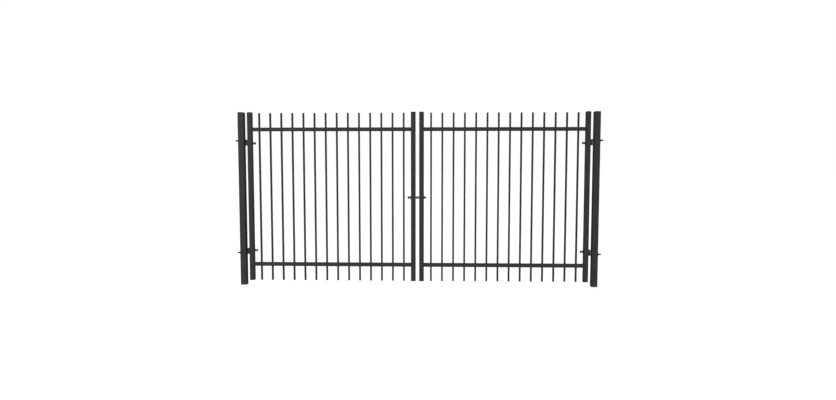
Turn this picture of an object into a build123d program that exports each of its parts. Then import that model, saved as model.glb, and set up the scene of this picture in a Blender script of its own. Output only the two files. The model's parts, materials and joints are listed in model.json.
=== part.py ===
from build123d import *
import math
import os

# Double driveway gate in square steel tube: two posts and two leaves of vertical bars.
# Millimetres. Origin at the middle of the left post's foot, +X to the right post,
# +Y to the inside, which the leaves open towards, and +Z up.

# Layout of the opening
leaf_width = 1800
leaf_height = 1800
ground_gap = 50
hinge_gap = 34
meeting_gap = 38

# Posts, cut off level with the ground
post_size = 65
post_wall = 3
post_corner = 6

# Stiles, the upright tubes at both edges of a leaf
stile_size = 50
stile_wall = 2.5
stile_corner = 4

# Rails, punched for the bars
rail_height = 40
rail_depth = 30
rail_wall = 2
rail_inset = 174

# Bars, which pass through both rails, as many as fit at this gap
bar_size = 19
bar_wall = 1.5
bar_clear_gap = 100
punch_clearance = 0.25

# Crowned caps on posts and stiles
cap_rim = 6
cap_rise = 5
cap_spigot = 18
cap_fit = 0.3
cap_wall = 3

# Plug caps on the bars
bar_cap_height = 3
bar_cap_spigot = 12

# Sides that stand for the circle of a thread, a bolt hole or a washer, which repeat often
round_sides = 10

# Threaded bolts of the hinges and of the lock, with the shoulder that seats on the tube
bolt_radius = 8
bolt_hole_clearance = 0.5
post_bolt_reach = 40
stile_bolt_reach = 32.5
shoulder_thickness = 3

# Nuts and washers, with the bolt that shows past a nut at its end
nut_flats = 24
nut_height = 13
thin_nut_height = 8
end_nut_tip = 2
washer_radius = 15
washer_thickness = 3
thread_clearance = 0.1

# Hinges: a pin block on the post and an eye on the leaf
hinge_setback = 13.5
hinge_inset = 308
knuckle_radius = 12
knuckle_height = 27
knuckle_lap_gap = 0.5
pin_radius = 7
pin_clearance = 0.08
pin_tip = 2
pin_nut_flats = 22
pin_nut_height = 8

# Lock: two lapped flat eyes that take a padlock
lock_eye_width = 26
lock_eye_thickness = 12
lock_eye_clip = 7
lock_lap_gap = 0.5
shackle_hole_radius = 6
left_lock_reach = 36.5
right_lock_reach = 29.5

# Run of a cutting solid past the face that it cuts
cut_margin = 5

# Places that follow from the sizes above
post_face_x = post_size / 2
hinge_axis_x = post_face_x + hinge_gap / 2
leaf_start_x = post_face_x + hinge_gap
leaf_end_x = leaf_start_x + leaf_width
centre_x = leaf_end_x + meeting_gap / 2
leaf_bottom_z = ground_gap
leaf_top_z = ground_gap + leaf_height
lock_z = ground_gap + leaf_height / 2
hinge_stile_x = leaf_start_x + stile_size / 2
meeting_stile_x = leaf_end_x - stile_size / 2
rail_length = leaf_width - 2 * stile_size
rail_heights = (leaf_bottom_z + rail_inset, leaf_top_z - rail_inset)
bar_pitch = bar_size + bar_clear_gap
bar_count = int(rail_length // bar_pitch)
knuckle_offset = (knuckle_height + knuckle_lap_gap) / 2
bolt_hole_radius = bolt_radius + bolt_hole_clearance
other_side = Plane.YZ.offset(centre_x)


def tube_section(size, wall, corner):
    """Cross-section of a square tube, round at its outer corners."""
    bore_size = size - 2 * wall
    return RectangleRounded(size, size, corner) - Rectangle(bore_size, bore_size)


def light_tube_section(width, depth, wall):
    """Cross-section of a light rectangular tube with sharp corners."""
    return Rectangle(width, depth) - Rectangle(width - 2 * wall, depth - 2 * wall)


def hole_section(radius):
    """Section of a hole that a round of this radius passes through."""
    return RegularPolygon(radius, round_sides, major_radius=False)


def threaded_rod(start, end, y, z):
    """Rod of the bolts' outer diameter along X from start to end."""
    section = Plane.YZ * RegularPolygon(bolt_radius, round_sides)
    return Pos(start, y, z) * extrude(section, amount=end - start)


def bolt_hole(start, end, y, z):
    """Cutting solid of a bolt hole along X from start to end."""
    return Pos(start, y, z) * extrude(Plane.YZ * hole_section(bolt_hole_radius), amount=end - start)


def hexagon(flats):
    """Hexagon with two of its corners on X."""
    return RegularPolygon(flats / 2, 6, major_radius=False)


def hexagon_nut(flats, height, hole_radius):
    """Nut that stands on its seat at the origin."""
    return extrude(hexagon(flats) - hole_section(hole_radius), amount=height)


def nut_on_x(start, direction, y, z, height=nut_height):
    """Nut on a bolt along X with its seat at start, its corners up and down."""
    nut = hexagon_nut(nut_flats, height, bolt_radius + thread_clearance)
    return Pos(start, y, z) * Rot(0, 90 * direction, 0) * nut


def shoulder(start, y, z):
    """Thin hexagon of a bolt along X, from start on, that seats on a tube's face."""
    return Pos(start, y, z) * Rot(0, 90, 0) * extrude(hexagon(nut_flats), amount=shoulder_thickness)


def washer_on_x(start, y, z):
    """Flat washer on a bolt along X, on the left of its seat at start."""
    outline = RegularPolygon(washer_radius, round_sides)
    ring = extrude(outline - hole_section(bolt_hole_radius), amount=washer_thickness)
    return Pos(start, y, z) * Rot(0, -90, 0) * ring


def crowned_cap(size, wall, corner):
    """Hollow cap on a square tube: level rim, crown of two crossed arches, spigot in the tube."""
    half = size / 2
    arch_radius = (half**2 + cap_rise**2) / (2 * cap_rise)
    arch = Pos(0, 0, cap_rim + cap_rise - arch_radius) * Rot(90, 0, 0) * Cylinder(arch_radius, 2 * size)
    corner_cut = corner * (2 - math.sqrt(2))
    plan = chamfer(Rectangle(size, size).vertices(), corner_cut)
    crown = extrude(plan, amount=cap_rim + 2 * cap_rise) & arch & (Rot(0, 0, 90) * arch)
    spigot_size = size - 2 * (wall + cap_fit)
    body = crown + extrude(Rectangle(spigot_size, spigot_size), amount=-cap_spigot)
    pocket_size = spigot_size - 2 * cap_wall
    pocket = extrude(Rectangle(pocket_size, pocket_size), amount=cap_spigot + cap_rim - cap_wall)
    return body - Pos(0, 0, -cap_spigot) * pocket


def hinge_levels(post_side_below):
    """Heights of the pin block and of the eye, and the way that the pin points."""
    if post_side_below:
        lap_z = leaf_bottom_z + hinge_inset
        return lap_z - knuckle_offset, lap_z + knuckle_offset, 1
    lap_z = leaf_top_z - hinge_inset
    return lap_z + knuckle_offset, lap_z - knuckle_offset, -1


lower_hinge = hinge_levels(True)
upper_hinge = hinge_levels(False)
hinges = {"lower": lower_hinge, "upper": upper_hinge}


def post():
    """Square post with holes for the two hinge bolts."""
    body = extrude(tube_section(post_size, post_wall, post_corner), amount=leaf_top_z)
    reach = post_face_x + cut_margin
    for block_z, _, _ in hinges.values():
        body -= bolt_hole(-reach, reach, hinge_setback, block_z)
    return body


def gudgeon(block_z, pin_way):
    """Pin block of a hinge: threaded bolt through the post, shoulder, block and hinge pin."""
    pin_length = knuckle_height + 2 * knuckle_lap_gap + pin_nut_height + pin_tip
    pin_middle = (knuckle_height + pin_length) / 2
    pin = Pos(0, 0, pin_way * pin_middle) * Cylinder(pin_radius, pin_length)
    block = Cylinder(knuckle_radius, knuckle_height) + pin
    bolt_end = -post_face_x - post_bolt_reach
    body = Pos(hinge_axis_x, hinge_setback, block_z) * block
    body += threaded_rod(bolt_end, hinge_axis_x, hinge_setback, block_z)
    return body + shoulder(post_face_x, hinge_setback, block_z)


def pin_nut(block_z, pin_way):
    """Nut that keeps the eye on the hinge pin."""
    nut = hexagon_nut(pin_nut_flats, pin_nut_height, pin_radius + thread_clearance)
    seat = knuckle_height / 2 + knuckle_height + 2 * knuckle_lap_gap
    middle = block_z + pin_way * (seat + pin_nut_height / 2)
    return Pos(hinge_axis_x, hinge_setback, middle - pin_nut_height / 2) * nut


def hinge_eye(eye_z):
    """Eye of a hinge: knuckle on the pin, shoulder and threaded bolt through the stile."""
    body = Pos(hinge_axis_x, hinge_setback, eye_z) * Cylinder(knuckle_radius, knuckle_height)
    bolt_end = leaf_start_x + stile_size + stile_bolt_reach
    body += threaded_rod(hinge_axis_x, bolt_end, hinge_setback, eye_z)
    body += shoulder(leaf_start_x - shoulder_thickness, hinge_setback, eye_z)
    bore = Cylinder(pin_radius + pin_clearance, knuckle_height + cut_margin)
    return body - Pos(hinge_axis_x, hinge_setback, eye_z) * bore


def stile(x, bolt_places):
    """Upright tube of a leaf, drilled through for the bolts at each (y, z)."""
    section = tube_section(stile_size, stile_wall, stile_corner)
    body = Pos(x, 0, leaf_bottom_z) * extrude(section, amount=leaf_height)
    reach = stile_size / 2 + cut_margin
    for y, z in bolt_places:
        body -= bolt_hole(x - reach, x + reach, y, z)
    return body


def bar_places():
    """Middle of each bar along X, evenly spaced between the stiles."""
    first = (leaf_start_x + leaf_end_x - bar_pitch * (bar_count - 1)) / 2
    return [first + bar_pitch * i for i in range(bar_count)]


def rail(z):
    """Rail between the stiles, punched through for each bar."""
    section = Plane.YZ * light_tube_section(rail_depth, rail_height, rail_wall)
    body = Pos(leaf_start_x + stile_size, 0, z) * extrude(section, amount=rail_length)
    punch_size = bar_size + 2 * punch_clearance
    punch = extrude(Rectangle(punch_size, punch_size), amount=rail_height / 2 + cut_margin, both=True)
    return body - [Pos(x, 0, z) * punch for x in bar_places()]


def bars():
    """All bars of a leaf, as tubes that don't touch each other."""
    section = light_tube_section(bar_size, bar_size, bar_wall)
    tube = extrude(section, amount=leaf_height - bar_cap_height)
    return Compound([Pos(x, 0, leaf_bottom_z) * tube for x in bar_places()])


def bar_caps():
    """Plug in the top of each bar."""
    head = extrude(Rectangle(bar_size, bar_size), amount=bar_cap_height)
    spigot_size = bar_size - 2 * (bar_wall + cap_fit)
    plug = head + extrude(Rectangle(spigot_size, spigot_size), amount=-bar_cap_spigot)
    return Compound([Pos(x, 0, leaf_top_z - bar_cap_height) * plug for x in bar_places()])


def lock_bolt(reach):
    """Threaded bolt of a lock eye, through the meeting stile, with its shoulder."""
    bolt_end = leaf_end_x - stile_size - reach
    return threaded_rod(bolt_end, leaf_end_x, 0, lock_z) + shoulder(leaf_end_x, 0, lock_z)


def lock_eye(level):
    """Flat eye that laps over or under the other leaf's eye, level 1 above or -1 below."""
    start = leaf_end_x + shoulder_thickness
    end = centre_x + lock_eye_width / 2
    outline = Pos((start + end) / 2, 0) * Rectangle(end - start, lock_eye_width)
    outline = chamfer(outline.vertices().sort_by(Axis.X)[-2:], lock_eye_clip)
    outline -= Pos(centre_x, 0) * Circle(shackle_hole_radius)
    middle = lock_z + level * (lock_lap_gap + lock_eye_thickness) / 2
    return Pos(0, 0, middle) * extrude(outline, amount=lock_eye_thickness / 2, both=True)


def post_set():
    """Left post with all that is fixed to it."""
    washer_seat = -post_face_x
    nut_seat = washer_seat - washer_thickness
    blocks = [(block_z, pin_way) for block_z, _, pin_way in hinges.values()]
    pieces = {
        "post": post(),
        "post_cap": Pos(0, 0, leaf_top_z) * crowned_cap(post_size, post_wall, post_corner),
        "post_washers": Compound(
            [washer_on_x(washer_seat, hinge_setback, block_z) for block_z, _ in blocks]
        ),
        "post_nuts": Compound([nut_on_x(nut_seat, -1, hinge_setback, block_z) for block_z, _ in blocks]),
        "pin_nuts": Compound([pin_nut(block_z, pin_way) for block_z, pin_way in blocks]),
    }
    for name, (block_z, _, pin_way) in hinges.items():
        pieces[f"{name}_gudgeon"] = gudgeon(block_z, pin_way)
    return pieces


def leaf_set(eye_level, lock_reach, has_end_nut):
    """Left leaf with all that swings with it, and with a nut at the lock bolt's end if asked."""
    eye_heights = [eye_z for _, eye_z, _ in hinges.values()]
    nut_seat = leaf_start_x + stile_size
    end_nut_seat = nut_seat + stile_bolt_reach - end_nut_tip - nut_height
    lock_washer_seat = leaf_end_x - stile_size
    lock_nut_seat = lock_washer_seat - washer_thickness
    lock_end_nut_seat = lock_washer_seat - lock_reach + end_nut_tip + nut_height
    cap = crowned_cap(stile_size, stile_wall, stile_corner)
    pieces = {
        "hinge_stile": stile(hinge_stile_x, [(hinge_setback, z) for z in eye_heights]),
        "meeting_stile": stile(meeting_stile_x, [(0, lock_z)]),
        "stile_caps": Compound([Pos(x, 0, leaf_top_z) * cap for x in (hinge_stile_x, meeting_stile_x)]),
        "bottom_rail": rail(rail_heights[0]),
        "top_rail": rail(rail_heights[1]),
        "bars": bars(),
        "bar_caps": bar_caps(),
        "hinge_nuts": Compound(
            [nut_on_x(nut_seat, 1, hinge_setback, z, thin_nut_height) for z in eye_heights]
        ),
        "hinge_lock_nuts": Compound([nut_on_x(end_nut_seat, 1, hinge_setback, z) for z in eye_heights]),
        "lock_eye": lock_eye(eye_level),
        "lock_bolt": lock_bolt(lock_reach),
        "lock_washer": washer_on_x(lock_washer_seat, 0, lock_z),
        "lock_nut": nut_on_x(lock_nut_seat, -1, 0, lock_z),
    }
    if has_end_nut:
        pieces["lock_second_nut"] = nut_on_x(lock_end_nut_seat, -1, 0, lock_z)
    for name, (_, eye_z, _) in hinges.items():
        pieces[f"{name}_hinge_eye"] = hinge_eye(eye_z)
    return pieces


left_side = post_set() | leaf_set(1, left_lock_reach, True)
right_side = post_set() | leaf_set(-1, right_lock_reach, False)

os.makedirs("parts", exist_ok=True)
for name, piece in left_side.items():
    export_step(piece, f"parts/left_{name}.step")
for name, piece in right_side.items():
    export_step(mirror(piece, about=other_side), f"parts/right_{name}.step")
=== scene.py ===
import json
import math
import random

import bmesh
import bpy
from mathutils import Matrix, Vector


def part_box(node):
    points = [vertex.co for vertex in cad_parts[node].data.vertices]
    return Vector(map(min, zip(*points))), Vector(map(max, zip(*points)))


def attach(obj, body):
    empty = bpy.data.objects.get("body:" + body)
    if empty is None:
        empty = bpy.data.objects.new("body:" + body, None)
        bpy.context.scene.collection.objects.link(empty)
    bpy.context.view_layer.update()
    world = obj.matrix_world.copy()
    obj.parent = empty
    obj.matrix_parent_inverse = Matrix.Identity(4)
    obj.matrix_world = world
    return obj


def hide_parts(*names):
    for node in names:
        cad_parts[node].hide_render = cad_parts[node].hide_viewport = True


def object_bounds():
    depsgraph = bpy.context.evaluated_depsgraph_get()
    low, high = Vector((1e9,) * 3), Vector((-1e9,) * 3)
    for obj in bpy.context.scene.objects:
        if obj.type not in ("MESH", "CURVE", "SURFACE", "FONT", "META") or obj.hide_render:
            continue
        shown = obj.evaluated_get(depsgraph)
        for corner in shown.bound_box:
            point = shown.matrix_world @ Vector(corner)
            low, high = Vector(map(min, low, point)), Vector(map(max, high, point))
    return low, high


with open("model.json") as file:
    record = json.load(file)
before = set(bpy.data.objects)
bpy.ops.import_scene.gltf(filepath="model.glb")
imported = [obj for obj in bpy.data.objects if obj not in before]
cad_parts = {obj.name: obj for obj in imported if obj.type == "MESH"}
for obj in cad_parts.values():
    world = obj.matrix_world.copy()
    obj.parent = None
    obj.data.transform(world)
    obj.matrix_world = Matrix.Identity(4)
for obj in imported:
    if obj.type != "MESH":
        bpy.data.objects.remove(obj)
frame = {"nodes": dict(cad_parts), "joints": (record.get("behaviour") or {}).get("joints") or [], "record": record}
cad_low, cad_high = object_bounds()

# Metres throughout. Sizes are written in millimetres times MM.
# Pieces are shaped on the left half of the gate, and mirrored about CENTRE_X for the right half.
MM = 0.001

# Camera, fitted to the photo's edges: 836 x 400 pixels with the middle of the picture as its centre
CAMERA_PLACE = (2.09304, -6.09542, 1.33308)
CAMERA_PITCH = math.radians(3.8446)
CAMERA_YAW = math.radians(1.8908)
FOCAL_PIXELS = 571.46
PICTURE_WIDTH = 836
SENSOR_WIDTH = 36.0

# Light, backdrop and floor
WORLD_STRENGTH = 0.22
KEY_STRENGTH = 2.4
KEY_HEIGHT = math.radians(20)
BACK_STRENGTH = 1.6
BACK_HEIGHT = math.radians(25)
SUN_SOFTNESS = math.radians(30)
LAMP_PLACE = (-1.2, -2.2, 3.0)
LAMP_POWER = 38.0
LAMP_SIZE = 0.8
LAMP_COLOUR = (1.0, 0.89, 0.69)
BACKDROP_STRENGTH = 1.0
FLOOR_RADIUS = 60.0
FLOOR_POINTS = 96
FLOOR_SHADE = 0.30
FLOOR_GLOW = 0.84

# Linear colours of the coats and of the moulded caps
POST_COLOUR = (0.0360, 0.0360, 0.0360)
FRAME_COLOUR = (0.0355, 0.0355, 0.0355)
BAR_COLOUR = (0.0330, 0.0330, 0.0330)
# The fittings' colour is their own dark coat, darkened further as painted shade for the hinge knuckles, which sit
# in the shaded gap between post and leaf
FITTING_COLOUR_AND_GAP_SHADE = (0.0240, 0.0240, 0.0245)
CAP_COLOUR = (0.0210, 0.0210, 0.0215)

# Share of a coat's mirror-like reflection, 0.5 for bare plastic
COAT_SPECULAR = 0.04
FITTING_SPECULAR = 0.22
CAP_SPECULAR = 0.04

# Relief of each finish, as layers of (size, depth)
COAT_GRAIN = ((2.2 * MM, 0.12 * MM), (0.7 * MM, 0.09 * MM))
FITTING_GRAIN = ((2.5 * MM, 0.10 * MM), (0.6 * MM, 0.05 * MM))
PLASTIC_GRAIN = ((0.9 * MM, 0.09 * MM), (0.4 * MM, 0.04 * MM))

# Noise textures: the range that they mostly keep to, their detail, and the fine grains' share of a colour
NOISE_LOW = 0.3
NOISE_HIGH = 0.7
CLOUD_DETAIL = 3
GRAIN_DETAIL = 2
GRAIN_SHARE = 0.5

# Shading turns sharp where two faces meet at more than this
SHARP_ANGLE = math.radians(28)

# Points round a turned piece and round a hexagon, steps along a round edge and round a tube's corner,
# and the share of its radius that a corner keeps where the outline shrinks
ROUND_POINTS = 48
HEXAGON_POINTS = 72
QUARTER_STEPS = 3
CORNER_STEPS = 4
LEAST_CORNER = 0.25

# Bars and rails
BAR_SIZE = 19.0 * MM
BAR_PITCH = 119.0 * MM
BAR_CORNER = 2.0 * MM
BAR_WALL = 1.5 * MM
RAIL_CORNER = 3.0 * MM
RAIL_WALL = 2.0 * MM
CUT_EDGE = 0.3 * MM
PUNCH_CLEARANCE = 0.25 * MM
PUNCH_CORNER = 2.25 * MM
PUNCH_REACH = 5.0 * MM

# Weld beads: legs, reach into the steel, unevenness, the ripple's share of it and its points a wave,
# the seed of the rest, and steps along each side of a bar and of a rail's end
BAR_BEAD = 2.3 * MM
RAIL_BEAD = 3.0 * MM
KNUCKLE_BEAD = 1.8 * MM
BEAD_OVERLAP = 0.2 * MM
BEAD_UNEVEN = 0.14
RIPPLE_SHARE = 0.6
RIPPLE_POINTS = 4
BEAD_SEED = 7
BAR_BEAD_STEPS = 7
RAIL_BEAD_STEPS = 14

# Moulded caps
POST_CORNER = 6.0 * MM
STILE_CORNER = 4.0 * MM
POST_WALL = 3.0 * MM
STILE_WALL = 2.5 * MM
CAP_RIM = 6.0 * MM
CAP_RISE = 5.0 * MM
CAP_EDGE = 1.5 * MM
CAP_WALL = 3.0 * MM
CAP_FIT = 0.3 * MM
CAP_SPIGOT = 18.0 * MM
SPIGOT_LEAD = 1.0 * MM
CROWN_RINGS = 8
BAR_CAP_HEIGHT = 3.0 * MM
BAR_CAP_SPIGOT = 12.0 * MM
BAR_CAP_EDGE = 1.0 * MM
BAR_CAP_DOME = 0.4 * MM
DOME_RINGS = (0.5, 0.2)

# Screw thread M16 x 2, with its flats as shares of the pitch, and the bolts' tips
BOLT_RADIUS = 8.0 * MM
ROOT_RADIUS = 6.77 * MM
TIP_RADIUS = 6.2 * MM
PITCH = 2.0 * MM
CREST_FLAT = 0.125
ROOT_FLAT = 0.25
THREAD_POINTS = 36
THREAD_STEPS = 8
THREAD_PAST_FACE = 8.0 * MM
THREAD_END = 1.0 * MM

# Nuts and washers. The radius of a nut's flat face is a share of its width across flats.
NUT_FLATS = 24.0 * MM
PIN_NUT_FLATS = 22.0 * MM
PIN_NUT_HEIGHT = 8.0 * MM
NUT_FACE_SHARE = 0.475
NUT_SLOPE = math.tan(math.radians(30))
NUT_LEAD = 0.9 * MM
THREAD_CLEARANCE = 0.1 * MM
WASHER_HOLE_RADIUS = 8.5 * MM
WASHER_EDGE = 0.5 * MM
SHOULDER_HEIGHT = 3.0 * MM

# Hinges
HINGES = ("lower", "upper")
KNUCKLE_RADIUS = 12.0 * MM
KNUCKLE_HEIGHT = 27.0 * MM
KNUCKLE_EDGE = 1.5 * MM
PIN_RADIUS = 7.0 * MM
PIN_CLEARANCE = 0.08 * MM
PIN_TIP_EDGE = 1.2 * MM
BORE_EDGE = 0.5 * MM
ROD_INTO_KNUCKLE = 3.5 * MM

# Lock eyes, and the least slant at which one of their sides is met
EYE_CLIP = 7.0 * MM
EYE_HOLE_RADIUS = 6.0 * MM
EYE_EDGE = 1.0 * MM
LEAST_SLANT = 0.01


# Where things are: boxes of the nodes, on the left half

SLOT_OF = {row["node"]: row["material_slot"] for row in frame["record"]["subparts"]}
BODY_OF = {
    node: body
    for body, nodes in frame["record"]["behaviour"]["bodies"].items()
    for node in nodes
}
CENTRE_X = (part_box("left_post")[0].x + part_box("right_post")[1].x) / 2

# Axis of the left leaf's hinges
HINGE_X, HINGE_Y, _ = frame["joints"][0]["pos_m"]


def half_box(side, part):
    """A node's lowest and highest corner, mirrored to the left half for the right side."""
    low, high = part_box(f"{side}_{part}")
    if side == "left":
        return low, high
    return Vector((2 * CENTRE_X - high.x, low.y, low.z)), Vector((2 * CENTRE_X - low.x, high.y, high.z))


def middle(low, high):
    """Middle of the box between these corners."""
    return (low + high) / 2


class Shape:
    """Points and faces of a piece while it is made."""

    def __init__(self):
        self.points = []
        self.faces = []

    def skin(self, rings, closed=False):
        """Join rings of equal count in turn: the last to the first, or with a face at both ends."""
        start = len(self.points)
        count = len(rings[0])
        for ring in rings:
            self.points.extend(Vector(point) for point in ring)
        spans = len(rings) if closed else len(rings) - 1
        for i in range(spans):
            here = start + i * count
            there = start + (i + 1) % len(rings) * count
            for j in range(count):
                k = (j + 1) % count
                self.faces.append((here + j, here + k, there + k, there + j))
        if not closed:
            last = start + (len(rings) - 1) * count
            self.faces.append(tuple(range(start, start + count)))
            self.faces.append(tuple(range(last, last + count)))
        return self

    def add(self, other, place):
        """Take in a copy of another shape at this place."""
        start = len(self.points)
        self.points.extend(place @ point for point in other.points)
        self.faces.extend(tuple(start + i for i in face) for face in other.faces)
        return self


def upright(x, y, z, way=1):
    """Place of a shape whose axis stands up, or is mirrored to point down for way -1."""
    return Matrix(((1, 0, 0, x), (0, 1, 0, y), (0, 0, way, z), (0, 0, 0, 1)))


def lying(x, y, z, way=1):
    """Place of a shape whose axis lies along X, or is mirrored to point against it for way -1."""
    return Matrix(((0, 0, way, x), (1, 0, 0, y), (0, 1, 0, z), (0, 0, 0, 1)))


# Turned shapes: rings round Z from rows of (radius, height), each a number or a function of the angle

def angles(count):
    """Angles that divide a full turn evenly."""
    return [2 * math.pi * i / count for i in range(count)]


def at_angle(size, angle):
    """Value of a size that may be a function of the angle."""
    return size(angle) if callable(size) else size


def round_point(radius, angle, height):
    """Point at this radius, angle and height round Z."""
    return radius * math.cos(angle), radius * math.sin(angle), height


def turned(rows, around, closed=False):
    """Shape round Z through rows of (radius, height)."""
    rings = []
    for radius, height in rows:
        rings.append([round_point(at_angle(radius, a), a, at_angle(height, a)) for a in around])
    return Shape().skin(rings, closed)


def quarter(radius, height, size, start):
    """Rows of a quarter round of this size about (radius, height), from the start angle in degrees on."""
    rows = []
    for step in range(QUARTER_STEPS + 1):
        turn = math.radians(start + 90 * step / QUARTER_STEPS)
        rows.append((radius + size * math.cos(turn), height + size * math.sin(turn)))
    return rows


def nut(flats, height, bore, seat_chamfer=True):
    """Hexagon on its seat at the origin, corners on Y, with chamfered corners and a countersunk bore."""
    sixth = math.radians(60)

    def outer(angle):
        from_flat = (angle + sixth / 2) % sixth - sixth / 2
        return flats / 2 / math.cos(from_flat)

    def drop(angle):
        return (outer(angle) - NUT_FACE_SHARE * flats) * NUT_SLOPE

    def top(angle):
        return height - drop(angle)

    face = NUT_FACE_SHARE * flats
    seat = [(face, 0), (outer, drop)] if seat_chamfer else [(outer, 0)]
    rows = [(bore, NUT_LEAD), (bore + NUT_LEAD, 0)] + seat + [(outer, top), (face, height)]
    rows += [(bore + NUT_LEAD, height), (bore, height - NUT_LEAD)]
    return turned(rows, angles(HEXAGON_POINTS), closed=True)


def shoulder():
    """Thin hexagon on a bolt, flat on its seat and chamfered on the other side."""
    return nut(NUT_FLATS, SHOULDER_HEIGHT, BOLT_RADIUS - BEAD_OVERLAP, seat_chamfer=False)


def washer(radius, thickness):
    """Flat washer on its seat at the origin."""
    rows = [(WASHER_HOLE_RADIUS, 0), (radius - WASHER_EDGE, 0), (radius, WASHER_EDGE)]
    rows += [(radius, thickness - WASHER_EDGE), (radius - WASHER_EDGE, thickness)]
    rows += [(WASHER_HOLE_RADIUS, thickness)]
    return turned(rows, angles(ROUND_POINTS), closed=True)


def thread_radius(height, angle, hand):
    """Radius of a screw thread there, right-handed for hand 1 and left-handed for -1."""
    turn = height / PITCH - hand * angle / (2 * math.pi)
    from_root = abs(2 * (turn % 1) - 1)
    rise = (from_root - ROOT_FLAT) / (1 - CREST_FLAT - ROOT_FLAT)
    return ROOT_RADIUS + (BOLT_RADIUS - ROOT_RADIUS) * min(max(rise, 0), 1)


def bolt(length, threaded, hand):
    """Bolt with its chamfered tip at the origin, threaded so far and plain for the rest."""
    around = angles(THREAD_POINTS)
    rings = []
    count = round(threaded / PITCH * THREAD_STEPS)
    for i in range(count + 1):
        height = threaded * i / count
        ring = []
        for angle in around:
            radius = min(thread_radius(height, angle, hand), TIP_RADIUS + height)
            ring.append(round_point(radius, angle, height))
        rings.append(ring)
    for height in (threaded + THREAD_END, length):
        rings.append([round_point(BOLT_RADIUS, angle, height) for angle in around])
    return Shape().skin(rings)


# Shapes on a rounded rectangle: rings from rows of (inset, height)

def rounded_rectangle(width, depth, corner, side_steps=1):
    """Points of a rectangle with round corners, with each side split into so many steps."""
    arcs = []
    for quarter_turn, (x_way, y_way) in enumerate(((1, 1), (-1, 1), (-1, -1), (1, -1))):
        middle_x = x_way * (width / 2 - corner)
        middle_y = y_way * (depth / 2 - corner)
        arc = []
        for step in range(CORNER_STEPS + 1):
            turn = math.radians(90) * (quarter_turn + step / CORNER_STEPS)
            arc.append((middle_x + corner * math.cos(turn), middle_y + corner * math.sin(turn)))
        arcs.append(arc)
    points = []
    for arc, next_arc in zip(arcs, arcs[1:] + arcs[:1]):
        points.extend(arc)
        (x0, y0), (x1, y1) = arc[-1], next_arc[0]
        for step in range(1, side_steps):
            share = step / side_steps
            points.append((x0 + (x1 - x0) * share, y0 + (y1 - y0) * share))
    return points


def squared(width, depth, corner, rows, closed=False):
    """Shape along Z through rounded rectangles, from rows of (inset, height)."""
    rings = []
    for inset, height in rows:
        round_left = max(corner - inset, corner * LEAST_CORNER)
        outline = rounded_rectangle(width - 2 * inset, depth - 2 * inset, round_left)
        rings.append([(x, y, height) for x, y in outline])
    return Shape().skin(rings, closed)


def tube(width, depth, corner, wall, length):
    """Square tube that stands on the origin, with its cut edges broken."""
    rows = [(CUT_EDGE, 0), (0, CUT_EDGE), (0, length - CUT_EDGE), (CUT_EDGE, length)]
    rows += [(wall, length), (wall, 0)]
    return squared(width, depth, corner, rows, closed=True)


def crowned_cap(size, corner, wall):
    """Hollow cap on its seat at the origin: spigot, rim with a round edge, crown that falls to all sides."""
    half = size / 2
    spigot = wall + CAP_FIT
    pocket = spigot + CAP_WALL
    rows = [(pocket, CAP_RIM - CAP_WALL), (pocket, -CAP_SPIGOT)]
    rows += [(spigot + SPIGOT_LEAD, -CAP_SPIGOT), (spigot, SPIGOT_LEAD - CAP_SPIGOT)]
    rows += [(spigot, 0), (0, 0), (0, CAP_RIM - CAP_EDGE)]
    edge_rows = quarter(radius=0, height=0, size=CAP_EDGE, start=0)[1:-1]
    rows += [(CAP_EDGE - out, CAP_RIM - CAP_EDGE + up) for out, up in edge_rows]
    for ring in range(CROWN_RINGS):
        share = 1 - ring / CROWN_RINGS
        reach = (half - CAP_EDGE) * share
        rows.append((half - reach, CAP_RIM + CAP_RISE * (1 - (reach / half) ** 2)))
    return squared(size, size, corner, rows)


def plug_cap(size, corner, wall):
    """Plug in a bar's end, on its seat at the origin, with a round edge and a faint dome."""
    spigot = wall + CAP_FIT
    level = BAR_CAP_HEIGHT - BAR_CAP_DOME
    rows = [(spigot + SPIGOT_LEAD, -BAR_CAP_SPIGOT), (spigot, SPIGOT_LEAD - BAR_CAP_SPIGOT)]
    rows += [(spigot, 0), (0, 0)]
    for out, up in quarter(radius=0, height=0, size=BAR_CAP_EDGE, start=0):
        rows.append((BAR_CAP_EDGE - out, level - BAR_CAP_EDGE + up))
    for share in DOME_RINGS:
        rows.append((size / 2 * (1 - share), BAR_CAP_HEIGHT - BAR_CAP_DOME * share**2))
    return squared(size, size, corner, rows)


def bead_legs(leg, count, chance):
    """Leg of a weld bead at each of its points, uneven by a ripple and by chance."""
    phase = chance.uniform(0, 2 * math.pi)
    legs = []
    for i in range(count):
        ripple = RIPPLE_SHARE * math.sin(phase + 2 * math.pi * i / RIPPLE_POINTS)
        stray = (1 - RIPPLE_SHARE) * chance.uniform(-1, 1)
        legs.append(leg * (1 - BEAD_UNEVEN + BEAD_UNEVEN * (ripple + stray)))
    return legs


def bead(width, depth, corner, leg, side_steps, chance):
    """Weld bead on the plane Z = 0 round a rounded rectangle that stands through it."""
    base = rounded_rectangle(width, depth, corner, side_steps)
    # Each point moves straight outward, by one, to its place on the outline that is one larger all round
    larger = rounded_rectangle(width + 2, depth + 2, corner + 1, side_steps)
    outward = [(x_out - x, y_out - y) for (x, y), (x_out, y_out) in zip(base, larger)]
    legs = bead_legs(leg, len(base), chance)
    rings = []
    for out, up in quarter(radius=0, height=0, size=1, start=0):
        ring = []
        for (x, y), (x_way, y_way), size in zip(base, outward, legs):
            ring.append((x + x_way * out * size, y + y_way * out * size, up * size))
        rings.append(ring)
    inside = []
    for (x, y), (x_way, y_way) in zip(base, outward):
        inside.append((x - x_way * BEAD_OVERLAP, y - y_way * BEAD_OVERLAP, -BEAD_OVERLAP))
    rings.append(inside)
    return Shape().skin(rings, closed=True)


# Hinges and lock

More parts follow.
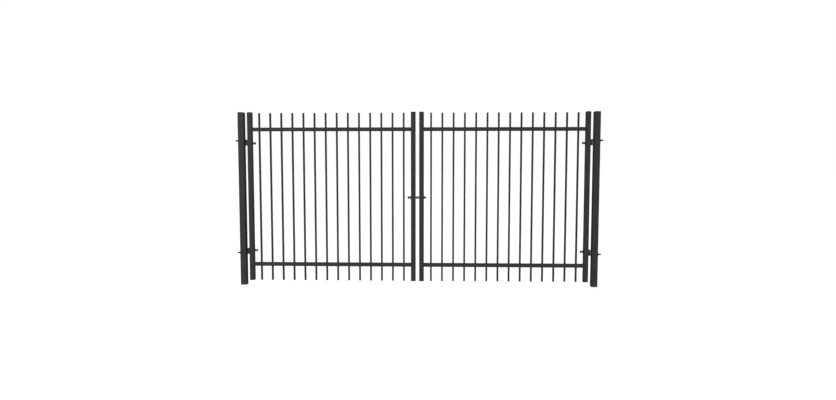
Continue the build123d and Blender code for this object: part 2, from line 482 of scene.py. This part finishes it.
def knuckle_bead():
    """Weld bead where a rod along X, on its positive side, meets a knuckle that stands at the origin."""
    rings = []

    def surface(reach, angle):
        return math.sqrt(KNUCKLE_RADIUS**2 - (reach * math.cos(angle)) ** 2)

    section = quarter(radius=0, height=0, size=KNUCKLE_BEAD, start=0)
    for out, along in section + [(-BEAD_OVERLAP, -BEAD_OVERLAP)]:
        ring = []
        for angle in angles(ROUND_POINTS):
            reach = BOLT_RADIUS + out
            x = surface(reach, angle) + along
            ring.append((x, reach * math.cos(angle), reach * math.sin(angle)))
        rings.append(ring)
    return Shape().skin(rings, closed=True)


def pin_block(pin_end):
    """Round block with round edges and a pin that stands on it up to this height from its middle."""
    half = KNUCKLE_HEIGHT / 2
    edge = KNUCKLE_EDGE
    rows = quarter(KNUCKLE_RADIUS - edge, edge - half, edge, -90)
    rows += quarter(KNUCKLE_RADIUS - edge, half - edge, edge, 0)
    rows += [(PIN_RADIUS, half), (PIN_RADIUS, pin_end - PIN_TIP_EDGE), (PIN_RADIUS - PIN_TIP_EDGE, pin_end)]
    return turned(rows, angles(ROUND_POINTS))


def eye_knuckle():
    """Round eye with round outer edges and a bore that its pin runs in."""
    half = KNUCKLE_HEIGHT / 2
    edge = KNUCKLE_EDGE
    bore = PIN_RADIUS + PIN_CLEARANCE
    rows = [(bore, BORE_EDGE - half), (bore + BORE_EDGE, -half)]
    rows += quarter(KNUCKLE_RADIUS - edge, edge - half, edge, -90)
    rows += quarter(KNUCKLE_RADIUS - edge, half - edge, edge, 0)
    rows += [(bore + BORE_EDGE, half), (bore, half - BORE_EDGE)]
    return turned(rows, angles(ROUND_POINTS), closed=True)


def lock_plate(back, front, half_width, thickness):
    """Flat eye round a hole at the origin, with clipped front corners and all edges broken."""
    clipped = (front + half_width - EYE_CLIP) / math.sqrt(2)
    # Each side's heading in degrees, and its distance from the hole
    sides = [(0, front), (45, clipped), (90, half_width), (180, back), (270, half_width), (315, clipped)]
    corners = []
    for x, y in ((-back, half_width), (front - EYE_CLIP, half_width), (front, half_width - EYE_CLIP)):
        corners += [math.atan2(y, x), 2 * math.pi - math.atan2(y, x)]

    def outline(inset):
        def reach(angle):
            reaches = []
            for side, distance in sides:
                slant = math.cos(angle - math.radians(side))
                if slant > LEAST_SLANT:
                    reaches.append((distance - inset) / slant)
            return min(reaches)
        return reach

    rows = [(EYE_HOLE_RADIUS, EYE_EDGE), (EYE_HOLE_RADIUS + EYE_EDGE, 0)]
    rows += [(outline(EYE_EDGE), 0), (outline(0), EYE_EDGE)]
    rows += [(outline(0), thickness - EYE_EDGE), (outline(EYE_EDGE), thickness)]
    rows += [(EYE_HOLE_RADIUS + EYE_EDGE, thickness), (EYE_HOLE_RADIUS, thickness - EYE_EDGE)]
    return turned(rows, sorted(angles(ROUND_POINTS) + corners), closed=True)


# Materials

def new_material(name):
    """Material with its node tree and its Principled shader."""
    material = bpy.data.materials.new(name)
    material.use_nodes = True
    return material, material.node_tree, material.node_tree.nodes["Principled BSDF"]


def noise(tree, size, detail):
    """Noise over the object's own coordinates, with features of this size in metres."""
    place = tree.nodes.new("ShaderNodeTexCoord")
    texture = tree.nodes.new("ShaderNodeTexNoise")
    texture.inputs["Scale"].default_value = 1 / size
    texture.inputs["Detail"].default_value = detail
    tree.links.new(place.outputs["Object"], texture.inputs["Vector"])
    return texture.outputs["Fac"]


def spread(tree, source, low, high):
    """Noise stretched to run from low to high."""
    span = tree.nodes.new("ShaderNodeMapRange")
    span.inputs["From Min"].default_value = NOISE_LOW
    span.inputs["From Max"].default_value = NOISE_HIGH
    span.inputs["To Min"].default_value = low
    span.inputs["To Max"].default_value = high
    tree.links.new(source, span.inputs["Value"])
    return span.outputs["Result"]


def cloudy_colour(tree, shader, colour, cloud_size, grain_size, contrast):
    """Colour that drifts a little lighter and darker, in wide clouds and in fine grains."""
    both = tree.nodes.new("ShaderNodeMix")
    both.inputs["Factor"].default_value = GRAIN_SHARE
    tree.links.new(noise(tree, cloud_size, CLOUD_DETAIL), both.inputs["A"])
    tree.links.new(noise(tree, grain_size, GRAIN_DETAIL), both.inputs["B"])
    shade = spread(tree, both.outputs["Result"], 0, 1)
    mix = tree.nodes.new("ShaderNodeMix")
    mix.data_type = "RGBA"
    mix.inputs["A"].default_value = [part * (1 - contrast) for part in colour] + [1]
    mix.inputs["B"].default_value = [part * (1 + contrast) for part in colour] + [1]
    tree.links.new(shade, mix.inputs["Factor"])
    tree.links.new(mix.outputs["Result"], shader.inputs["Base Color"])


def uneven_gloss(tree, shader, patch_size, smoothest, roughest):
    """Roughness that wanders between these two over patches of this size."""
    wander = spread(tree, noise(tree, patch_size, CLOUD_DETAIL), smoothest, roughest)
    tree.links.new(wander, shader.inputs["Roughness"])


def grain(tree, shader, layers):
    """Fine relief from layers of (size, depth), both in metres."""
    below = None
    for size, depth in layers:
        bump = tree.nodes.new("ShaderNodeBump")
        bump.inputs["Strength"].default_value = 1.0
        bump.inputs["Distance"].default_value = depth
        tree.links.new(noise(tree, size, GRAIN_DETAIL), bump.inputs["Height"])
        if below:
            tree.links.new(below, bump.inputs["Normal"])
        below = bump.outputs["Normal"]
    tree.links.new(below, shader.inputs["Normal"])


def powder_coat(name, colour):
    """Matt powder coat on steel tube: faint clouds, orange peel and uneven gloss."""
    material, tree, shader = new_material(name)
    cloudy_colour(tree, shader, colour, cloud_size=120 * MM, grain_size=0.9 * MM, contrast=0.14)
    uneven_gloss(tree, shader, patch_size=35 * MM, smoothest=0.68, roughest=0.82)
    grain(tree, shader, COAT_GRAIN)
    shader.inputs["Specular IOR Level"].default_value = COAT_SPECULAR
    return material


def fitting_coat(name, colour):
    """Thin coat over bolts, nuts and knuckles: a little glossier, with specks where it is thin."""
    material, tree, shader = new_material(name)
    cloudy_colour(tree, shader, colour, cloud_size=9 * MM, grain_size=0.8 * MM, contrast=0.20)
    uneven_gloss(tree, shader, patch_size=4 * MM, smoothest=0.36, roughest=0.56)
    grain(tree, shader, FITTING_GRAIN)
    shader.inputs["Specular IOR Level"].default_value = FITTING_SPECULAR
    return material


def moulded_plastic(name, colour):
    """Black moulded plastic with an even spark-eroded grain."""
    material, tree, shader = new_material(name)
    cloudy_colour(tree, shader, colour, cloud_size=30 * MM, grain_size=0.6 * MM, contrast=0.10)
    uneven_gloss(tree, shader, patch_size=12 * MM, smoothest=0.72, roughest=0.84)
    grain(tree, shader, PLASTIC_GRAIN)
    shader.inputs["Specular IOR Level"].default_value = CAP_SPECULAR
    return material


MATERIALS = {
    "post_paint": powder_coat("post_coat", POST_COLOUR),
    "frame_paint": powder_coat("frame_coat", FRAME_COLOUR),
    "bar_paint": powder_coat("bar_coat", BAR_COLOUR),
    "fitting_paint": fitting_coat("fitting_coat", FITTING_COLOUR_AND_GAP_SHADE),
    "cap_plastic": moulded_plastic("cap_plastic", CAP_COLOUR),
}


# Pieces from shapes

def face_outward(mesh):
    """Turn all faces outward."""
    builder = bmesh.new()
    builder.from_mesh(mesh)
    bmesh.ops.recalc_face_normals(builder, faces=builder.faces)
    builder.to_mesh(mesh)
    builder.free()


def finish_mesh(mesh, material):
    """Turn all faces outward, shade them smooth between sharp edges and give them their material."""
    face_outward(mesh)
    mesh.polygons.foreach_set("use_smooth", [True] * len(mesh.polygons))
    mesh.set_sharp_from_angle(angle=SHARP_ANGLE)
    mesh.materials.clear()
    mesh.materials.append(material)


def new_object(name, shape, side):
    """Object with this shape, mirrored for the right side."""
    points = shape.points
    if side == "right":
        points = [Vector((2 * CENTRE_X - point.x, point.y, point.z)) for point in points]
    mesh = bpy.data.meshes.new(name)
    mesh.from_pydata(points, [], shape.faces)
    thing = bpy.data.objects.new(name, mesh)
    bpy.context.scene.collection.objects.link(thing)
    return thing


def punch(thing, cutter):
    """Cut the cutter's shape out of a thing, and remove the cutter."""
    face_outward(thing.data)
    face_outward(cutter.data)
    modifier = thing.modifiers.new("punch", "BOOLEAN")
    modifier.operation = "DIFFERENCE"
    modifier.solver = "EXACT"
    modifier.object = cutter
    cut = thing.evaluated_get(bpy.context.evaluated_depsgraph_get())
    mesh = bpy.data.meshes.new_from_object(cut)
    thing.modifiers.clear()
    thing.data = mesh
    bpy.data.objects.remove(cutter)


def settle(thing, body, slot):
    """Finish a thing and let it ride on its body."""
    finish_mesh(thing.data, MATERIALS[slot])
    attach(thing, body)


def replace(side, part, shape, cutter_shape=None):
    """Show a detailed piece in place of a node."""
    node = f"{side}_{part}"
    thing = new_object(f"{node}_detail", shape, side)
    if cutter_shape:
        punch(thing, new_object("cutter", cutter_shape, side))
    settle(thing, BODY_OF[node], SLOT_OF[node])
    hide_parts(node)


def bolt_levels(side, name):
    """Heights of a hinge's pin block and eye, and the way its pin points."""
    low, high = half_box(side, f"{name}_gudgeon")
    corner = NUT_FLATS / math.sqrt(3)
    block_z = low.z + corner if name == "lower" else high.z - corner
    eye_z = middle(*half_box(side, f"{name}_hinge_eye")).z
    return block_z, eye_z, 1 if name == "lower" else -1


def hand_of(side, way):
    """Hand to draw a thread with, so that it is right-handed once its place and side have mirrored it."""
    return way if side == "left" else -way


def several(shape, places):
    """One shape at several places."""
    group = Shape()
    for place in places:
        group.add(shape, place)
    return group


def make_gudgeon(side, name):
    """Pin block of a hinge, on its bolt through the post."""
    block_z, _, way = bolt_levels(side, name)
    post_low, post_high = half_box(side, "post")
    low, high = half_box(side, f"{name}_gudgeon")
    length = HINGE_X - KNUCKLE_RADIUS + ROD_INTO_KNUCKLE - low.x
    rod = bolt(length, post_low.x - low.x + THREAD_PAST_FACE, hand_of(side, 1))
    pin_end = high.z - block_z if way > 0 else block_z - low.z
    bead_place = Matrix.Translation((HINGE_X, HINGE_Y, block_z)) @ Matrix.Scale(-1, 4, (1, 0, 0))
    gudgeon = several(pin_block(pin_end), [upright(HINGE_X, HINGE_Y, block_z, way)])
    gudgeon.add(rod, lying(low.x, HINGE_Y, block_z))
    gudgeon.add(shoulder(), lying(post_high.x, HINGE_Y, block_z))
    gudgeon.add(knuckle_bead(), bead_place)
    replace(side, f"{name}_gudgeon", gudgeon)


def make_hinge_eye(side, name):
    """Eye of a hinge, on its bolt through the hinge stile."""
    _, eye_z, _ = bolt_levels(side, name)
    stile_low, stile_high = half_box(side, "hinge_stile")
    _, high = half_box(side, f"{name}_hinge_eye")
    length = high.x - (HINGE_X + KNUCKLE_RADIUS - ROD_INTO_KNUCKLE)
    rod = bolt(length, high.x - stile_high.x + THREAD_PAST_FACE, hand_of(side, -1))
    eye = several(eye_knuckle(), [upright(HINGE_X, HINGE_Y, eye_z)])
    eye.add(rod, lying(high.x, HINGE_Y, eye_z, -1))
    eye.add(shoulder(), lying(stile_low.x, HINGE_Y, eye_z, -1))
    eye.add(knuckle_bead(), Matrix.Translation((HINGE_X, HINGE_Y, eye_z)))
    replace(side, f"{name}_hinge_eye", eye)


def make_hinges(side):
    """Pin blocks, eyes, nuts and washers of both hinges."""
    for name in HINGES:
        make_gudgeon(side, name)
        make_hinge_eye(side, name)
    make_hinge_nuts(side)
    make_pin_nuts(side)


def make_hinge_nuts(side):
    """Nuts and washers on the bolts of both hinges."""
    levels = [bolt_levels(side, name) for name in HINGES]
    block_heights = [block_z for block_z, _, _ in levels]
    eye_heights = [eye_z for _, eye_z, _ in levels]
    on_bolts = (("post_nuts", block_heights), ("hinge_nuts", eye_heights), ("hinge_lock_nuts", eye_heights))
    for part, heights in on_bolts:
        low, high = half_box(side, part)
        one = nut(NUT_FLATS, high.x - low.x, BOLT_RADIUS + THREAD_CLEARANCE)
        replace(side, part, several(one, [lying(low.x, HINGE_Y, z) for z in heights]))
    low, high = half_box(side, "post_washers")
    one = washer(high.z - max(block_heights), high.x - low.x)
    replace(side, "post_washers", several(one, [lying(low.x, HINGE_Y, z) for z in block_heights]))


def make_pin_nuts(side):
    """Nut on the end of each pin, with two of its corners on X."""
    low, high = half_box(side, "pin_nuts")
    one = nut(PIN_NUT_FLATS, PIN_NUT_HEIGHT, PIN_RADIUS + THREAD_CLEARANCE)
    corners_on_x = Matrix.Rotation(math.radians(90), 4, "Z")
    seats = (low.z, high.z - PIN_NUT_HEIGHT)
    replace(side, "pin_nuts", several(one, [upright(HINGE_X, HINGE_Y, z) @ corners_on_x for z in seats]))


def make_lock(side):
    """Lock bolt with its shoulder, flat eye, washer and nuts."""
    stile_low, stile_high = half_box(side, "meeting_stile")
    low, high = half_box(side, "lock_bolt")
    lock_y, lock_z = middle(low, high).yz
    rod = bolt(stile_high.x - low.x, stile_low.x - low.x + THREAD_PAST_FACE, hand_of(side, 1))
    piece = several(rod, [lying(low.x, lock_y, lock_z)])
    piece.add(shoulder(), lying(stile_high.x, lock_y, lock_z))
    replace(side, "lock_bolt", piece)

    low, high = half_box(side, "lock_eye")
    plate = lock_plate(CENTRE_X - low.x, high.x - CENTRE_X, high.y - lock_y, high.z - low.z)
    replace(side, "lock_eye", several(plate, [upright(CENTRE_X, lock_y, low.z)]))

    low, high = half_box(side, "lock_washer")
    one = washer(high.z - lock_z, high.x - low.x)
    replace(side, "lock_washer", several(one, [lying(low.x, lock_y, lock_z)]))
    for part in ("lock_nut", "lock_second_nut"):
        if f"{side}_{part}" in BODY_OF:
            low, high = half_box(side, part)
            one = nut(NUT_FLATS, high.x - low.x, BOLT_RADIUS + THREAD_CLEARANCE)
            replace(side, part, several(one, [lying(low.x, lock_y, lock_z)]))


def make_caps(side):
    """Caps on the post and on both stiles."""
    low, high = half_box(side, "post")
    cap = crowned_cap(high.x - low.x, POST_CORNER, POST_WALL)
    replace(side, "post_cap", several(cap, [upright(middle(low, high).x, 0, high.z)]))
    places = []
    for part in ("hinge_stile", "meeting_stile"):
        low, high = half_box(side, part)
        places.append(upright(middle(low, high).x, 0, high.z))
    replace(side, "stile_caps", several(crowned_cap(high.x - low.x, STILE_CORNER, STILE_WALL), places))


def bar_places(side):
    """Middle of each bar along X."""
    low, high = half_box(side, "bars")
    first = low.x + BAR_SIZE / 2
    count = round((high.x - low.x - BAR_SIZE) / BAR_PITCH) + 1
    return [first + BAR_PITCH * i for i in range(count)]


def make_bars(side):
    """Square bars and the plugs in their tops."""
    low, high = half_box(side, "bars")
    bar = tube(BAR_SIZE, BAR_SIZE, BAR_CORNER, BAR_WALL, high.z - low.z)
    plug = plug_cap(BAR_SIZE, BAR_CORNER, BAR_WALL)
    replace(side, "bars", several(bar, [upright(x, 0, low.z) for x in bar_places(side)]))
    replace(side, "bar_caps", several(plug, [upright(x, 0, high.z) for x in bar_places(side)]))


def make_rail(side, part):
    """Rail tube, punched for the bars."""
    low, high = half_box(side, part)
    height = high.z - low.z
    mid_z = middle(low, high).z
    rail = tube(high.y - low.y, height, RAIL_CORNER, RAIL_WALL, high.x - low.x)
    hole = BAR_SIZE + 2 * PUNCH_CLEARANCE
    reach = height / 2 + PUNCH_REACH
    prism = squared(hole, hole, PUNCH_CORNER, [(0, -reach), (0, reach)])
    cutter = several(prism, [upright(x, 0, mid_z) for x in bar_places(side)])
    replace(side, part, several(rail, [lying(low.x, 0, mid_z)]), cutter)


def weld_rail(side, part, welds, chance):
    """Weld beads round each bar, above and below a rail, and round both of the rail's ends."""
    low, high = half_box(side, part)
    for x in bar_places(side):
        for z, way in ((high.z, 1), (low.z, -1)):
            ring = bead(BAR_SIZE, BAR_SIZE, BAR_CORNER, BAR_BEAD, BAR_BEAD_STEPS, chance)
            welds.add(ring, upright(x, 0, z, way))
    for x, way in ((low.x, 1), (high.x, -1)):
        ring = bead(high.y - low.y, high.z - low.z, RAIL_CORNER, RAIL_BEAD, RAIL_BEAD_STEPS, chance)
        welds.add(ring, lying(x, 0, middle(low, high).z, way))


def make_rails(side):
    """Both rails of a leaf, and its weld beads as one piece."""
    chance = random.Random(BEAD_SEED)
    welds = Shape()
    for part in ("bottom_rail", "top_rail"):
        make_rail(side, part)
        weld_rail(side, part, welds, chance)
    thing = new_object(f"{side}_leaf_welds", welds, side)
    settle(thing, BODY_OF[f"{side}_bars"], SLOT_OF[f"{side}_top_rail"])


def dress_frame():
    """Give each CAD node the material of its slot."""
    for node, slot in SLOT_OF.items():
        mesh = frame["nodes"][node].data
        mesh.materials.clear()
        mesh.materials.append(MATERIALS[slot])


# Camera, light and floor

def add_camera():
    """Camera of the photo."""
    data = bpy.data.cameras.new("camera")
    data.sensor_width = SENSOR_WIDTH
    data.lens = FOCAL_PIXELS / PICTURE_WIDTH * SENSOR_WIDTH
    camera = bpy.data.objects.new("camera", data)
    camera.location = CAMERA_PLACE
    camera.rotation_euler = (math.pi / 2 - CAMERA_PITCH, 0, CAMERA_YAW)
    bpy.context.scene.collection.objects.link(camera)
    bpy.context.scene.camera = camera


def seen_directly(tree):
    """1 for camera, glossy and transmission rays, else 0."""
    path = tree.nodes.new("ShaderNodeLightPath")
    seen = path.outputs["Is Camera Ray"]
    for name in ("Is Glossy Ray", "Is Transmission Ray"):
        either = tree.nodes.new("ShaderNodeMath")
        either.operation = "MAXIMUM"
        tree.links.new(seen, either.inputs[0])
        tree.links.new(path.outputs[name], either.inputs[1])
        seen = either.outputs[0]
    return seen


def add_world():
    """White backdrop for the eye and for reflections, and a dim even light."""
    world = bpy.data.worlds.new("studio")
    world.use_nodes = True
    tree = world.node_tree
    background = tree.nodes["Background"]
    background.inputs["Color"].default_value = (1, 1, 1, 1)
    strength = tree.nodes.new("ShaderNodeMapRange")
    strength.inputs["To Min"].default_value = WORLD_STRENGTH
    strength.inputs["To Max"].default_value = BACKDROP_STRENGTH
    tree.links.new(seen_directly(tree), strength.inputs["Value"])
    tree.links.new(strength.outputs["Result"], background.inputs["Strength"])
    bpy.context.scene.world = world


def add_sun(name, strength, height, heading):
    """Soft light that comes from this height above the horizon and this heading, 0 for the front."""
    data = bpy.data.lights.new(name, "SUN")
    data.energy = strength
    data.angle = SUN_SOFTNESS
    sun = bpy.data.objects.new(name, data)
    sun.rotation_euler = (math.pi / 2 - height, 0, heading)
    bpy.context.scene.collection.objects.link(sun)


def add_lamp():
    """Warm soft lamp, above, left and in front of the left post, that faces the post."""
    data = bpy.data.lights.new("lamp", "AREA")
    data.energy = LAMP_POWER
    data.size = LAMP_SIZE
    data.color = LAMP_COLOUR
    lamp = bpy.data.objects.new("lamp", data)
    lamp.location = LAMP_PLACE
    towards = middle(*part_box("left_post")) - Vector(LAMP_PLACE)
    lamp.rotation_euler = towards.to_track_quat("-Z", "Y").to_euler()
    bpy.context.scene.collection.objects.link(lamp)


def add_floor():
    """Floor that looks white and keeps a faint soft shadow."""
    bpy.ops.mesh.primitive_circle_add(
        vertices=FLOOR_POINTS, radius=FLOOR_RADIUS, fill_type="NGON", location=(CENTRE_X, 0, cad_low.z)
    )
    floor = bpy.context.object
    floor.name = "floor"
    material = bpy.data.materials.new("floor")
    material.use_nodes = True
    tree = material.node_tree
    tree.nodes.clear()
    output = tree.nodes.new("ShaderNodeOutputMaterial")
    matte = tree.nodes.new("ShaderNodeBsdfDiffuse")
    matte.inputs["Color"].default_value = (FLOOR_SHADE, FLOOR_SHADE, FLOOR_SHADE, 1)
    glow = tree.nodes.new("ShaderNodeEmission")
    strength = tree.nodes.new("ShaderNodeMath")
    strength.operation = "MULTIPLY"
    strength.inputs[1].default_value = FLOOR_GLOW
    tree.links.new(seen_directly(tree), strength.inputs[0])
    tree.links.new(strength.outputs[0], glow.inputs["Strength"])
    both = tree.nodes.new("ShaderNodeAddShader")
    tree.links.new(matte.outputs[0], both.inputs[0])
    tree.links.new(glow.outputs[0], both.inputs[1])
    tree.links.new(both.outputs[0], output.inputs["Surface"])
    floor.data.materials.append(material)


dress_frame()
for gate_side in ("left", "right"):
    make_hinges(gate_side)
    make_lock(gate_side)
    make_caps(gate_side)
    make_bars(gate_side)
    make_rails(gate_side)
add_camera()
add_world()
add_sun("key", KEY_STRENGTH, KEY_HEIGHT, heading=0)
add_sun("back", BACK_STRENGTH, BACK_HEIGHT, heading=math.pi)
add_lamp()
add_floor()
bpy.context.scene.view_settings.view_transform = "Standard"
